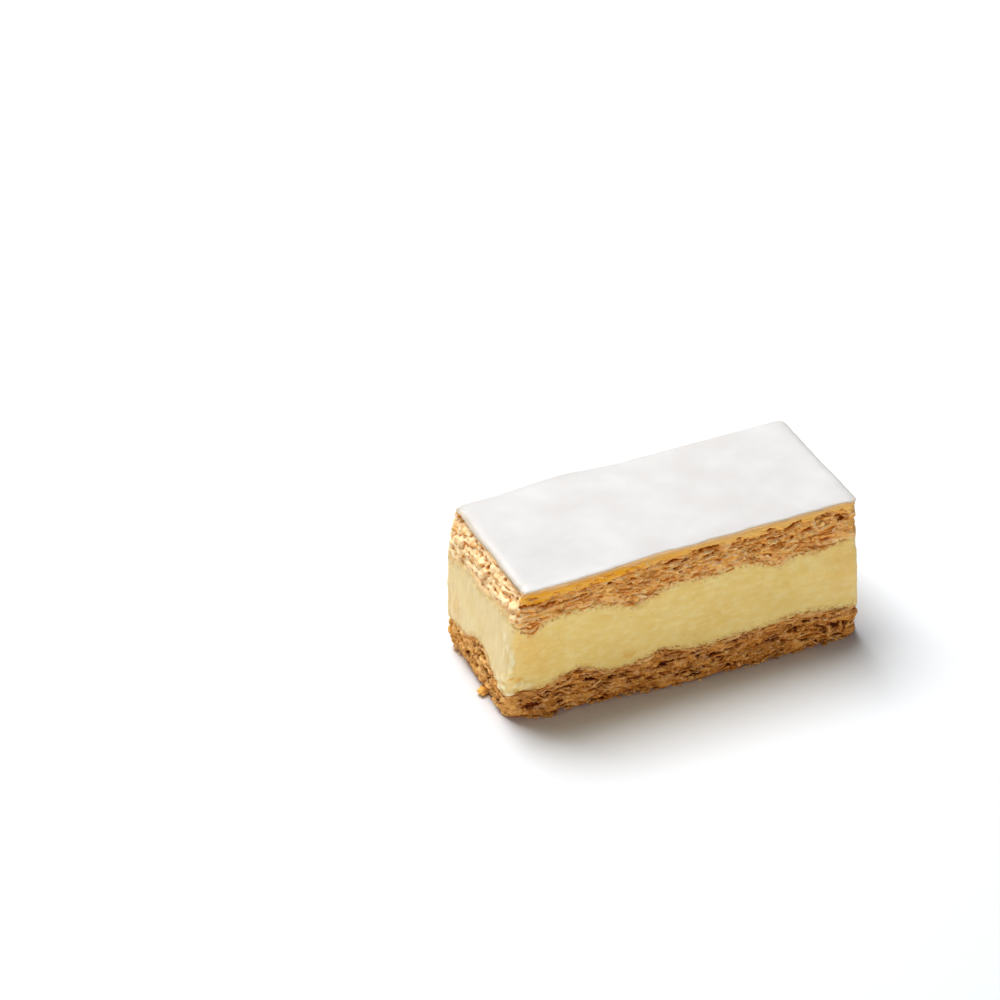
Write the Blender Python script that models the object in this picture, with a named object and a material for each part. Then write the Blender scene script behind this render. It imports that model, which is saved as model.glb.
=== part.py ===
"""A slice of mille feuille: lower pastry, a thick slab of custard, upper pastry and a thin sheet of icing.

The slice stands on z = 0 with its length along X. Its front is -Y, and the origin is under its middle.
Lengths in this file are millimetres, and MM turns them into Blender's metres.
"""

import math

import bpy
from mathutils import Vector, noise

MM = 0.001

# The cut block, measured half way up
LENGTH = 102.0
WIDTH = 43.6
HEIGHT = 43.5
CORNER_TOP = 1.9  # plan radius of the upright edges, above the lower pastry and at the foot
CORNER_FOOT = 4.2

# Mean heights of the layers' faces
LOWER_TOP = 10.4
CUSTARD_TOP = 30.3
ICING = 1.3  # thickness of the icing
CRUST = 1.7  # thickness of the baked top skin of the upper pastry
GAP = 0.3  # clearance between two pieces that touch

# How far each side stands out from the block at the foot and at the top, at its low and high end
# along X (front and back) or along Y (left and right), and its belly half way up
SIDES = {
    "front": {"foot": (-4.6, 1.5), "top": (1.2, -0.5), "belly": 0.2},
    "back": {"foot": (-0.8, -1.0), "top": (-0.6, 0.3), "belly": 0.4},
    "left": {"foot": (0.9, -0.6), "top": (-0.6, -1.9), "belly": 0.9},
    "right": {"foot": (1.0, 0.8), "top": (-1.9, -0.4), "belly": 0.2},
}
# Swell at the top of the back, and spread at the foot of the front, which fades out above the lower pastry
BACK_BULGE = {"x": -19.0, "width": 13.0, "out": 1.6, "fade": 2}
FOOT_BULGE = {"x": -14.0, "width": 30.0, "out": 1.7, "fade": 8}
DROOP = {"x": -51.0, "y": -22.0, "reach": 24.0, "drop": 1.1}  # the front left corner sags

# Sags and humps of the two faces of the custard: place along the outline, height and half width.
# The outline starts at the front left corner and runs along the front, right end, back and left end.
CUSTARD_TOP_HUMPS = (
    (5.6, -2.8, 2.6), (17, 2.2, 12), (35.5, -2.5, 4.5), (48, 1.7, 7.5), (66, 1.7, 9), (78, -1.9, 3.2),
    (84.5, 0.5, 3), (90, -0.7, 2.5), (97, 0.5, 4), (112, 0.8, 9), (138, -1.4, 8), (164, 1.1, 10),
    (190, -1.7, 8), (216, 0.9, 9), (240, -1.0, 6), (251, -2.6, 4), (263, 1.4, 4.5), (277, 1.8, 7),
    (287, 3.0, 7),
)
CUSTARD_FOOT_HUMPS = (
    (9, -1.2, 4), (20, 2.5, 5.5), (32, -1.4, 5), (44, 1.4, 4.5), (58, -0.7, 7), (84, 1.4, 10),
    (122, 0.9, 8), (146, 1.5, 8), (175, -1.3, 10), (205, 1.2, 9), (232, -0.8, 7), (272, 5.7, 9),
    (283, 0.6, 4),
)

# Stations round the outline
LONG_STEPS = 28
END_STEPS = 12
CORNER_STEPS = 3

# Flaky sides: each ledge of dough has a groove under it and a lip that stands out
LEDGES_UPPER = 4
LEDGES_LOWER = 4
GROOVE = 0.9
LIP = 0.7
LIP_RAGGED = 0.9
LEDGE_WANDER = 0.55  # share of a ledge by which its foot rises and falls

INSETS = (4.0, 9.0)  # where an uneven face of a layer levels out, inside its rim

COLOURS = {
    "lower_pastry": (0.47, 0.23, 0.075),
    "custard": (0.72, 0.50, 0.14),
    "upper_pastry": (0.60, 0.33, 0.12),
    "icing": (0.88, 0.86, 0.84),
}
ROUGHNESS = {"lower_pastry": 0.75, "custard": 0.42, "upper_pastry": 0.7, "icing": 0.35}


def lerp(a, b, t):
    return a + (b - a) * t


def side_out(side, along, up):
    """How far a side stands out, at a share of its length and a share of the height."""
    form = SIDES[side]
    foot = lerp(*form["foot"], along)
    top = lerp(*form["top"], along)
    return lerp(foot, top, up) + form["belly"] * 4 * up * (1 - up)


def outline_stations():
    """Stations round a rounded rectangle: (side or corner, share along it)."""
    runs = (("front", LONG_STEPS), ("right", END_STEPS), ("back", LONG_STEPS), ("left", END_STEPS))
    for corner, (side, steps) in enumerate(runs, start=1):
        for i in range(steps):
            yield side, i / steps
        for i in range(CORNER_STEPS):
            yield corner, i / CORNER_STEPS


def outline_point(run, share, radius):
    """Plan point of a station and its outward direction, on the block's rounded outline."""
    half_l, half_w = LENGTH / 2, WIDTH / 2
    in_l, in_w = half_l - radius, half_w - radius
    straight = {
        "front": ((lerp(-in_l, in_l, share), -half_w), (0, -1)),
        "right": ((half_l, lerp(-in_w, in_w, share)), (1, 0)),
        "back": ((lerp(in_l, -in_l, share), half_w), (0, 1)),
        "left": ((-half_l, lerp(in_w, -in_w, share)), (-1, 0)),
    }
    if run in straight:
        return straight[run]
    centres = {1: (in_l, -in_w), 2: (in_l, in_w), 3: (-in_l, in_w), 4: (-in_l, -in_w)}
    angle = math.radians(90) * (run - 2 + share)
    direction = (math.cos(angle), math.sin(angle))
    centre = centres[run]
    return (centre[0] + radius * direction[0], centre[1] + radius * direction[1]), direction


def along_outline(x, y):
    """Distance along the outline of a plan point near it, from the front left corner."""
    half_l, half_w = LENGTH / 2, WIDTH / 2
    reach = {
        half_w + y: x + half_l,
        half_l - x: LENGTH + y + half_w,
        half_w - y: LENGTH + WIDTH + half_l - x,
        half_l + x: 2 * LENGTH + WIDTH + half_w - y,
    }
    return reach[min(reach)]


def humps_at(humps, place):
    """Sum of the humps at a distance along the closed outline."""
    around = 2 * (LENGTH + WIDTH)
    total = 0.0
    for centre, height, width in humps:
        apart = (place - centre + around / 2) % around - around / 2
        total += height * math.exp(-((apart / width) ** 2))
    return total


def custard_top(x, y):
    return CUSTARD_TOP + humps_at(CUSTARD_TOP_HUMPS, along_outline(x, y))


def custard_foot(x, y):
    return LOWER_TOP + humps_at(CUSTARD_FOOT_HUMPS, along_outline(x, y))


def bulge(form, x, near):
    """How far a swell stands out at a place along the side. Near is 1 at its own edge of the side."""
    return form["out"] * math.exp(-(((x - form["x"]) / form["width"]) ** 2)) * near ** form["fade"]


def place(x, y, z, out=0.0, direction=(0, 0)):
    """Point of the slice for a point of the block: leans the sides, then sags the front left corner."""
    up = z / HEIGHT
    share_x = x / LENGTH + 0.5
    share_y = y / WIDTH + 0.5
    swell = bulge(BACK_BULGE, x, up)
    spread = bulge(FOOT_BULGE, x, 1 - up)
    left = -LENGTH / 2 - side_out("left", share_y, up)
    right = LENGTH / 2 + side_out("right", share_y, up)
    front = -WIDTH / 2 - side_out("front", share_x, up) - spread
    back = WIDTH / 2 + side_out("back", share_x, up) + swell
    away = math.hypot(x - DROOP["x"], y - DROOP["y"]) / DROOP["reach"]
    sag = 1 - DROOP["drop"] / HEIGHT * math.exp(-(away**2))
    return Vector(
        (
            lerp(left, right, share_x) + out * direction[0],
            lerp(front, back, share_y) + out * direction[1],
            z * sag,
        )
    )


def ragged(x, y, grain, seed):
    """Smooth noise from -1 to 1 along the outline, in waves about grain long."""
    return noise.noise(Vector((x / grain, y / grain, seed)))


def loop(height, out):
    """Closed ring of points. Height and out are numbers, or functions of the block's plan point."""
    points = []
    for run, share in outline_stations():
        flat = outline_point(run, share, CORNER_TOP)[0]
        z = height(*flat) if callable(height) else height
        radius = lerp(CORNER_FOOT, CORNER_TOP, min(1, z / LOWER_TOP))
        (x, y), direction = outline_point(run, share, radius)
        points.append(place(x, y, z, out(x, y) if callable(out) else out, direction))
    return points


def inset_loop(height, level, inset):
    """Ring inside the rim of an uneven face, which levels out towards the middle."""
    points = []
    flatten = inset / INSETS[-1]
    for run, share in outline_stations():
        x, y = outline_point(run, share, CORNER_TOP)[0]
        z = lerp(height(x, y) if callable(height) else height, level, flatten)
        points.append(place(x * (1 - 2 * inset / LENGTH), y * (1 - 2 * inset / WIDTH), z))
    return points


def band_faces(low, high, count, falling):
    """Triangles between two rings. Falling sets the way of their diagonals, so that faces that meet match."""
    faces = []
    for k in range(count):
        after = (k + 1) % count
        if falling:
            faces += [(low + k, low + after, high + k), (low + after, high + after, high + k)]
        else:
            faces += [(low + k, low + after, high + after), (low + k, high + after, high + k)]
    return faces


def solid(name, foot_level, foot_insets, sides, top_insets, top_level):
    """Closed body of rings: from the foot's middle to the rim, up the sides, and in to the top's middle."""
    rings = [*foot_insets, *sides, *top_insets]
    count = len(sides[0])
    points = [place(0, 0, foot_level)]
    for ring in rings:
        points.extend(ring)
    points.append(place(0, 0, top_level))
    faces = []
    for r in range(len(rings) - 1):
        faces += band_faces(1 + r * count, 1 + (r + 1) * count, count, r < len(foot_insets))
    last = 1 + (len(rings) - 1) * count
    for k in range(count):
        after = (k + 1) % count
        faces.append((0, 1 + after, 1 + k))
        faces.append((last + k, last + after, len(points) - 1))
    mesh = bpy.data.meshes.new(name)
    mesh.from_pydata([p * MM for p in points], [], faces)
    mesh.update()
    mesh.shade_smooth()
    mesh.set_sharp_from_angle(angle=math.radians(35))
    mesh.materials.append(finish(name))
    body = bpy.data.objects.new(name, mesh)
    bpy.context.scene.collection.objects.link(body)


def finish(name):
    material = bpy.data.materials.new(name)
    material.use_nodes = True
    shader = material.node_tree.nodes["Principled BSDF"]
    shader.inputs["Base Color"].default_value = (*COLOURS[name], 1.0)
    shader.inputs["Roughness"].default_value = ROUGHNESS[name]
    shader.inputs["Metallic"].default_value = 0.0
    return material


def ledge_foot(i, ledges, seed):
    """Share of a pastry's height at which a ledge starts. Inside the pastry it wanders along the outline."""

    def share(x, y):
        wander = LEDGE_WANDER * ragged(x, y, 12.0, seed + 40 + i) if 0 < i < ledges else 0.0
        return (i + wander) / ledges

    return share


def flaky_side(low, high, ledges, seed):
    """Rings of a pastry's side between two faces: for each ledge a groove, then a lip with a ragged edge."""
    rings = []
    for i in range(ledges):
        start, end = ledge_foot(i, ledges, seed), ledge_foot(i + 1, ledges, seed)

        def height(share, start=start, end=end):
            return lambda x, y: lerp(low(x, y), high(x, y), lerp(start(x, y), end(x, y), share))

        def groove(x, y, i=i):
            return -GROOVE * (0.7 + 1.1 * ragged(x, y, 8.0, seed + i))

        def lip(x, y, i=i):
            stand = LIP * (0.4 + ragged(x, y, 15.0, seed + 10 + i))
            return stand + LIP_RAGGED * ragged(x, y, 4.6, seed + 20 + i)

        if i:
            rings.append(loop(height(0.08), groove))
        rings.append(loop(height(0.38), lip))
        rings.append(loop(height(0.76), lip))
    return rings


def lower_pastry():
    top = LOWER_TOP - GAP

    def foot(x, y):
        return 0.35 + 0.35 * ragged(x, y, 12.0, 3.0)

    def head(x, y):
        return custard_foot(x, y) - GAP

    sole = [inset_loop(0.0, 0.0, INSETS[0] / 2)]
    sides = [loop(foot, -0.6), *flaky_side(foot, head, LEDGES_LOWER, 5.0), loop(head, 0.0)]
    solid("lower_pastry", 0.0, sole, sides, [inset_loop(head, top, inset) for inset in INSETS], top)


def custard():
    foot_insets = [inset_loop(custard_foot, LOWER_TOP, inset) for inset in reversed(INSETS)]
    top_insets = [inset_loop(custard_top, CUSTARD_TOP, inset) for inset in INSETS]
    sides = []
    bands = 5
    for i in range(bands + 1):
        share = i / bands

        def height(x, y, share=share):
            return lerp(custard_foot(x, y), custard_top(x, y), share)

        def out(x, y, share=share):
            return 1.1 * share * (1 - share) * (0.5 + ragged(x, y, 11.0, 40 + 2 * share))

        sides.append(loop(height, out))
    solid("custard", LOWER_TOP, foot_insets, sides, top_insets, CUSTARD_TOP)


def upper_pastry():
    foot_level = CUSTARD_TOP + GAP
    top = HEIGHT - ICING - GAP

    def foot(x, y):
        return custard_top(x, y) + GAP

    def under_crust(x, y):
        return top - CRUST + 0.3 * ragged(x, y, 10.0, 61.0)

    def crust_edge(x, y):
        return 0.35 + 0.5 * ragged(x, y, 4.5, 70.0)

    foot_insets = [inset_loop(foot, foot_level, inset) for inset in reversed(INSETS)]
    sides = [loop(foot, 0.0), *flaky_side(foot, under_crust, LEDGES_UPPER, 50.0)]
    sides.append(loop(under_crust, -0.5 * GROOVE))
    sides.append(loop(top - 0.8 * CRUST, crust_edge))
    sides.append(loop(top - 0.25 * CRUST, crust_edge))
    sides.append(loop(top, -0.3))
    solid("upper_pastry", foot_level, foot_insets, sides, [inset_loop(top, top, INSETS[0])], top)


def icing():
    foot = HEIGHT - ICING

    def edge(x, y):
        return -0.5 + 0.35 * ragged(x, y, 14.0, 80.0)

    sides = []
    for share, back in ((0.0, 0.1), (0.25, -0.1), (0.6, 0.0), (0.9, 0.3), (1.0, 0.9)):
        sides.append(loop(foot + ICING * share, lambda x, y, back=back: edge(x, y) - back))
    sole, head = (inset_loop(level, level, INSETS[0]) for level in (foot, HEIGHT))
    solid("icing", foot, [sole], sides, [head], HEIGHT)


def main():
    for thing in list(bpy.data.objects):
        bpy.data.objects.remove(thing, do_unlink=True)
    lower_pastry()
    custard()
    upper_pastry()
    icing()


main()
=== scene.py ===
"""The looks of a mille feuille slice: flaky pastry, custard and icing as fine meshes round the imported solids.

Lengths are millimetres in the slice's own frame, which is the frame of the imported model, and MM turns them
into Blender's metres. The slice's front is -Y. Places along its outline run from the front left corner along
the front, the right end, the back and the left end.
"""

import bmesh
import bpy
import numpy as np
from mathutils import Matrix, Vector


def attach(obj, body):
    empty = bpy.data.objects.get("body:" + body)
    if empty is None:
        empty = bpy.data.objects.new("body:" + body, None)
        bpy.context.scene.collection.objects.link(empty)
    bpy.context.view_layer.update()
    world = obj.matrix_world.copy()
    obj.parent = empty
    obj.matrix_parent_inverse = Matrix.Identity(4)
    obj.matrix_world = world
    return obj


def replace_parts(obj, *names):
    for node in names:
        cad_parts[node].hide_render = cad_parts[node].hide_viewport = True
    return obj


MM = 0.001

# The cut block and the heights of its layers, as in the part's source
LENGTH = 102.0
WIDTH = 43.6
HEIGHT = 43.5
CORNER_TOP = 1.9
CORNER_FOOT = 4.2
LOWER_TOP = 10.4
CUSTARD_TOP = 30.3
ICING = 1.3
ICING_RIM = 0.85
SIDES = {
    "front": {"foot": (-4.6, 1.5), "top": (1.2, -0.5), "belly": 0.2},
    "back": {"foot": (-0.8, -1.0), "top": (-0.6, 0.3), "belly": 0.4},
    "left": {"foot": (0.9, -0.6), "top": (-0.6, -1.9), "belly": 0.9},
    "right": {"foot": (1.0, 0.8), "top": (-1.9, -0.4), "belly": 0.2},
}
BACK_BULGE = {"x": -19.0, "width": 13.0, "out": 1.6, "fade": 2}
FOOT_BULGE = {"x": -14.0, "width": 30.0, "out": 1.7, "fade": 8}
DROOP = {"x": -51.0, "y": -22.0, "reach": 24.0, "drop": 1.1}
CUSTARD_TOP_HUMPS = (
    (5.6, -2.8, 2.6), (17, 2.2, 12), (35.5, -2.5, 4.5), (48, 1.7, 7.5), (66, 1.7, 9), (78, -1.9, 3.2),
    (84.5, 0.5, 3), (90, -0.7, 2.5), (97, 0.5, 4), (112, 0.8, 9), (138, -1.4, 8), (164, 1.1, 10),
    (190, -1.7, 8), (216, 0.9, 9), (240, -1.0, 6), (251, -2.6, 4), (263, 1.4, 4.5), (277, 1.8, 7),
    (287, 3.0, 7),
)
CUSTARD_FOOT_HUMPS = (
    (9, -1.2, 4), (20, 2.5, 5.5), (32, -1.4, 5), (44, 1.4, 4.5), (58, -0.7, 7), (84, 1.4, 10),
    (122, 0.9, 8), (146, 1.5, 8), (175, -1.3, 10), (205, 1.2, 9), (232, -0.8, 7), (272, 5.7, 9),
    (283, 0.6, 4),
)

# The camera and the point on the floor that it looks at
CAMERA = {"at": (-365.35, -675.71, 552.23), "aim": (-8.01, 77.52, 0.0), "lens": 126.0}

# Spacing of the fine meshes: along the outline, and up the pastry
ALONG = 0.30
UP = 0.17
CUSTARD_ROWS = 72


# ---------------------------------------------------------------- noise

EDGE_DIRECTIONS = np.array(
    [
        (1, 1, 0), (-1, 1, 0), (1, -1, 0), (-1, -1, 0), (1, 0, 1), (-1, 0, 1),
        (1, 0, -1), (-1, 0, -1), (0, 1, 1), (0, -1, 1), (0, 1, -1), (0, -1, -1),
    ],
    float,
)


def scramble(ix, iy, iz, seed):
    """Whole pseudo-random number for each lattice point."""
    h = (ix * 374761393 + iy * 668265263 + iz * 1274126177 + int(seed) * 362437) & 0xFFFFFFFF
    h = ((h ^ (h >> 13)) * 1103515245) & 0xFFFFFFFF
    return h ^ (h >> 16)


def wave(x, y, z, seed=0):
    """Smooth gradient noise from about -1 to 1, one wave about 1 unit long."""
    x, y, z = np.broadcast_arrays(*(np.asarray(v, float) for v in (x, y, z)))
    cell = [np.floor(v).astype(np.int64) for v in (x, y, z)]
    part = [v - c for v, c in zip((x, y, z), cell)]
    ease = [p * p * p * (p * (p * 6 - 15) + 10) for p in part]
    total = np.zeros(x.shape)
    for dx in (0, 1):
        for dy in (0, 1):
            for dz in (0, 1):
                pick = scramble(cell[0] + dx, cell[1] + dy, cell[2] + dz, seed) % 12
                slope = EDGE_DIRECTIONS[pick]
                dot = slope[..., 0] * (part[0] - dx) + slope[..., 1] * (part[1] - dy) + slope[..., 2] * (part[2] - dz)
                weight = np.ones(x.shape)
                for e, d in zip(ease, (dx, dy, dz)):
                    weight = weight * (e if d else 1 - e)
                total += weight * dot
    return total


def fractal(x, y, z, seed=0, octaves=3):
    total, size = 0.0, 1.0
    for k in range(octaves):
        total = total + size * wave(x * 2**k, y * 2**k, z * 2**k, seed + 17 * k)
        size *= 0.5
    return total


def cells(x, y, z, seed=0):
    """Distance to the nearest of one random point in each unit cell, and that point's own number from 0 to 1."""
    x, y, z = np.broadcast_arrays(*(np.asarray(v, float) for v in (x, y, z)))
    cell = [np.floor(v).astype(np.int64) for v in (x, y, z)]
    nearest = np.full(x.shape, 9.0)
    number = np.zeros(x.shape)
    for dx in (-1, 0, 1):
        for dy in (-1, 0, 1):
            for dz in (-1, 0, 1):
                at = (cell[0] + dx, cell[1] + dy, cell[2] + dz)
                spot = [c + scramble(*at, seed + 101 * k) / 4294967295 for k, c in enumerate(at)]
                apart = (x - spot[0]) ** 2 + (y - spot[1]) ** 2 + (z - spot[2]) ** 2
                closer = apart < nearest
                nearest = np.where(closer, apart, nearest)
                number = np.where(closer, scramble(*at, seed + 777) / 4294967295, number)
    return np.sqrt(nearest), number


# ---------------------------------------------------------------- the slice's form

def lerp(a, b, t):
    return a + (b - a) * t


def smooth_step(low, high, value):
    t = np.clip((value - low) / (high - low), 0, 1)
    return t * t * (3 - 2 * t)


def side_out(side, along, up):
    form = SIDES[side]
    return lerp(lerp(*form["foot"], along), lerp(*form["top"], along), up) + form["belly"] * 4 * up * (1 - up)


def bulge(form, x, near):
    return form["out"] * np.exp(-(((x - form["x"]) / form["width"]) ** 2)) * near ** form["fade"]


def put(x, y, z, out=0.0, nx=0.0, ny=0.0):
    """Points of the slice for points of the block, as the part's own place function."""
    up = np.clip(z / HEIGHT, 0, 1)
    share_x = x / LENGTH + 0.5
    share_y = y / WIDTH + 0.5
    left = -LENGTH / 2 - side_out("left", share_y, up)
    right = LENGTH / 2 + side_out("right", share_y, up)
    front = -WIDTH / 2 - side_out("front", share_x, up) - bulge(FOOT_BULGE, x, 1 - up)
    back = WIDTH / 2 + side_out("back", share_x, up) + bulge(BACK_BULGE, x, up)
    away = np.hypot(x - DROOP["x"], y - DROOP["y"]) / DROOP["reach"]
    sag = 1 - DROOP["drop"] / HEIGHT * np.exp(-(away**2))
    return np.stack(
        [lerp(left, right, share_x) + out * nx, lerp(front, back, share_y) + out * ny, z * sag], axis=-1
    )


class Outline:
    """Stations at even steps round the block: how far each lies along it, and its outward direction."""

    def __init__(self, step):
        long_n, end_n, corner_n = round(LENGTH / step), round(WIDTH / step), max(3, round(4 / step))
        ax, ay, angle = [], [], []
        corners = ((1, -1), (1, 1), (-1, 1), (-1, -1))
        starts = ((-1, -1), *corners[:3])
        for k, (end, start) in enumerate(zip(corners, starts)):
            steps = long_n if k % 2 == 0 else end_n
            for i in range(steps):
                ax.append(lerp(start[0], end[0], i / steps))
                ay.append(lerp(start[1], end[1], i / steps))
                angle.append(90 * (k - 1))
            for i in range(corner_n):
                ax.append(end[0])
                ay.append(end[1])
                angle.append(90 * (k - 1 + i / corner_n))
        turn = np.radians(angle)
        self.ax, self.ay = np.array(ax, float), np.array(ay, float)
        self.nx, self.ny = np.cos(turn), np.sin(turn)
        self.count = len(ax)
        self.x, self.y = self.plan(CORNER_TOP)
        self.place = along_outline(self.x, self.y)

    def plan(self, radius):
        x = self.ax * (LENGTH / 2 - radius) + radius * self.nx
        y = self.ay * (WIDTH / 2 - radius) + radius * self.ny
        return x, y

    def row(self, z, out=0.0):
        """Points round the slice at height z, standing out by out."""
        radius = lerp(CORNER_FOOT, CORNER_TOP, np.clip(z / LOWER_TOP, 0, 1))
        x, y = self.plan(radius)
        return put(x, y, z, out, self.nx, self.ny)

    def inner(self, z, inset):
        return put(self.x * (1 - 2 * inset / LENGTH), self.y * (1 - 2 * inset / WIDTH), z)


def along_outline(x, y):
    half_l, half_w = LENGTH / 2, WIDTH / 2
    gaps = np.stack([half_w + y, half_l - x, half_w - y, half_l + x])
    reach = np.stack(
        [x + half_l, LENGTH + y + half_w, LENGTH + WIDTH + half_l - x, 2 * LENGTH + WIDTH + half_w - y]
    )
    return np.take_along_axis(reach, gaps.argmin(0)[None], 0)[0]


def apart_on_outline(place, centre):
    around = 2 * (LENGTH + WIDTH)
    return (place - centre + around / 2) % around - around / 2


def humps_at(humps, place):
    return sum(height * np.exp(-((apart_on_outline(place, centre) / width) ** 2)) for centre, height, width in humps)


def custard_top(place):
    return CUSTARD_TOP + humps_at(CUSTARD_TOP_HUMPS, place)


def custard_foot(place):
    return LOWER_TOP + humps_at(CUSTARD_FOOT_HUMPS, place)


# ---------------------------------------------------------------- meshes

def blurred(field, up, along):
    """Mean of a field over a window of rows and stations. It wraps round the outline."""
    for axis, reach in ((0, up), (1, along)):
        if axis == 0:
            padded = np.concatenate([field[:1]] * reach + [field] + [field[-1:]] * reach, 0)
        else:
            padded = np.concatenate([field[:, -reach:], field, field[:, :reach]], 1)
        total = np.cumsum(padded, axis)
        size = 2 * reach + 1
        first = np.take(total, [size - 1], axis)
        rest = np.take(total, range(size, total.shape[axis]), axis) - np.take(
            total, range(total.shape[axis] - size), axis
        )
        field = np.concatenate([first, rest], axis) / size
    return field


def ring_faces(rows, count):
    """Quads between closed rings of count points each."""
    k = np.arange(count)
    after = (k + 1) % count
    return np.concatenate(
        [np.stack([r * count + k, r * count + after, (r + 1) * count + after, (r + 1) * count + k], 1)
         for r in range(rows - 1)]
    )


def piece(name, points, faces, caps=(), fields=None, materials=(), smooth=True):
    mesh = bpy.data.meshes.new(name)
    mesh.from_pydata((points * MM).tolist(), [], [*faces.tolist(), *caps])
    mesh.update()
    for key, values in (fields or {}).items():
        mesh.attributes.new(key, "FLOAT", "POINT").data.foreach_set("value", np.ascontiguousarray(values, np.float32))
    if smooth:
        mesh.shade_smooth()
    for material in materials:
        mesh.materials.append(material)
    thing = bpy.data.objects.new(name, mesh)
    bpy.context.scene.collection.objects.link(thing)
    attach(thing, "root")
    return thing


# ---------------------------------------------------------------- pastry

# Hollows torn in the pastry, listed one by one: place, height, half length, half height, depth, rise along its length
UPPER_HOLLOWS = (
    (57.0, 40.6, 3.6, 0.75, 1.9, 0.06),
    (73.5, 39.6, 5.0, 0.45, 1.6, 0.05),
    (82.4, 40.4, 3.2, 0.85, 2.0, 0.25),
    (92.0, 40.7, 3.6, 0.60, 1.8, 0.04),
    (78.0, 38.0, 3.0, 0.40, 1.4, 0.05),
    (88.0, 37.6, 3.2, 0.40, 1.4, 0.05),
    (97.5, 39.2, 2.4, 0.45, 1.4, 0.0),
    (5.0, 38.9, 4.6, 0.50, 1.4, -0.03),
    (9.5, 37.6, 3.4, 0.70, 1.3, 0.04),
    (18.0, 37.4, 6.0, 0.35, 1.2, 0.03),
    (34.0, 37.6, 8.0, 0.32, 1.0, 0.05),
    (24.0, 33.6, 1.1, 1.40, 0.9, 0.0),
    (47.0, 39.3, 5.0, 0.50, 1.4, 0.02),
    (66.0, 38.0, 5.5, 0.35, 1.2, 0.05),
    (280.2, 41.2, 0.8, 0.60, 1.6, 0.0),
    (271.1, 39.0, 0.9, 0.60, 1.6, 0.0),
    (289.0, 41.3, 1.0, 0.70, 1.6, 0.0),
    (265.6, 41.4, 0.8, 0.60, 1.6, 0.0),
    (276.0, 36.5, 1.2, 0.60, 1.4, 0.0),
)
LOWER_HOLLOWS = (
    (14.0, 6.6, 5.5, 0.6, 1.8, 0.04),
    (23.5, 9.0, 3.0, 0.7, 1.5, 0.05),
    (45.5, 6.6, 3.0, 0.6, 1.8, 0.08),
    (36.0, 4.3, 4.0, 0.4, 1.4, 0.0),
    (60.0, 5.6, 5.5, 0.45, 1.6, 0.05),
    (55.0, 7.6, 3.0, 0.40, 1.5, 0.05),
    (66.0, 8.2, 3.2, 0.40, 1.5, 0.06),
    (76.0, 5.0, 5.0, 0.5, 1.6, 0.05),
    (84.0, 6.6, 3.5, 0.4, 1.5, 0.05),
    (96.0, 4.8, 4.6, 1.2, 1.4, 0.0),
    (4.5, 8.3, 3.0, 0.45, 1.3, 0.02),
    (269.0, 8.6, 1.3, 2.2, 1.8, 0.0),
    (254.0, 6.8, 0.9, 1.8, 1.6, 0.0),
    (262.0, 5.0, 2.4, 0.7, 1.5, 0.1),
    (279.0, 6.0, 1.6, 1.2, 1.6, 0.0),
    (6.4, 3.2, 2.4, 0.7, 0.8, 0.0),
    (10.5, 5.4, 2.0, 0.5, 1.2, 0.05),
    (270.5, 12.4, 1.3, 1.6, 1.4, 0.0),
    (281.0, 9.5, 1.0, 0.9, 1.2, 0.0),
    (286.5, 4.6, 1.2, 1.0, 1.2, 0.0),
)

# Pale lumps and flaps of dough, listed one by one: place, height, half length, half height, how far out, how pale
UPPER_LUMPS = (
    (290.4, 41.4, 2.2, 0.9, 1.1, 1.0),
    (0.8, 41.9, 1.6, 0.8, 1.2, 1.0),
    (2.4, 40.9, 1.8, 0.7, 1.0, 0.9),
    (287.6, 37.9, 1.6, 1.1, 1.1, 1.0),
    (284.4, 37.2, 1.3, 1.2, 1.0, 1.0),
    (281.4, 36.8, 1.2, 1.0, 0.9, 1.0),
    (290.2, 35.4, 1.8, 1.4, 0.9, 0.9),
    (1.4, 34.0, 1.8, 1.2, 0.7, 0.8),
    (274.0, 40.6, 1.5, 1.1, 0.9, 1.0),
    (267.6, 38.6, 1.4, 1.3, 0.9, 1.0),
    (260.5, 40.2, 1.6, 1.2, 0.9, 1.0),
    (255.5, 37.4, 1.4, 1.4, 0.8, 1.0),
    (26.0, 39.3, 1.0, 0.5, 0.8, 0.9),
    (35.0, 39.1, 0.8, 0.5, 0.8, 0.9),
    (62.0, 39.5, 1.5, 1.8, 0.9, 0.7),
    (88.6, 39.0, 0.8, 1.3, 0.9, 0.7),
    (76.0, 37.0, 2.2, 0.9, 0.7, 0.5),
)
LOWER_LUMPS = (
    (1.8, 2.4, 1.5, 1.6, 0.8, 0.5),
    (17.0, 2.8, 2.5, 1.3, 0.8, 0.3),
    (39.5, 9.6, 1.8, 0.8, 0.8, 0.9),
    (94.0, 3.0, 0.5, 2.4, 0.8, 0.5),
    (97.5, 3.4, 0.5, 2.2, 0.8, 0.4),
    (268.0, 3.0, 2.0, 1.5, 0.8, 0.6),
)

# How the baked top skin shows along the outline: place, thickness, and how orange it is
SKIN = (
    (0, 1.6, 0.5), (4, 3.0, 1.0), (26, 2.8, 1.0), (38, 1.9, 0.9), (52, 1.6, 0.5), (62, 2.2, 0.3), (98, 2.0, 0.5),
    (104, 0.6, 0.4), (143, 0.6, 0.4), (150, 1.3, 0.7), (243, 1.3, 0.7), (250, 0.4, 0.3), (289, 0.4, 0.3),
)


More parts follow.
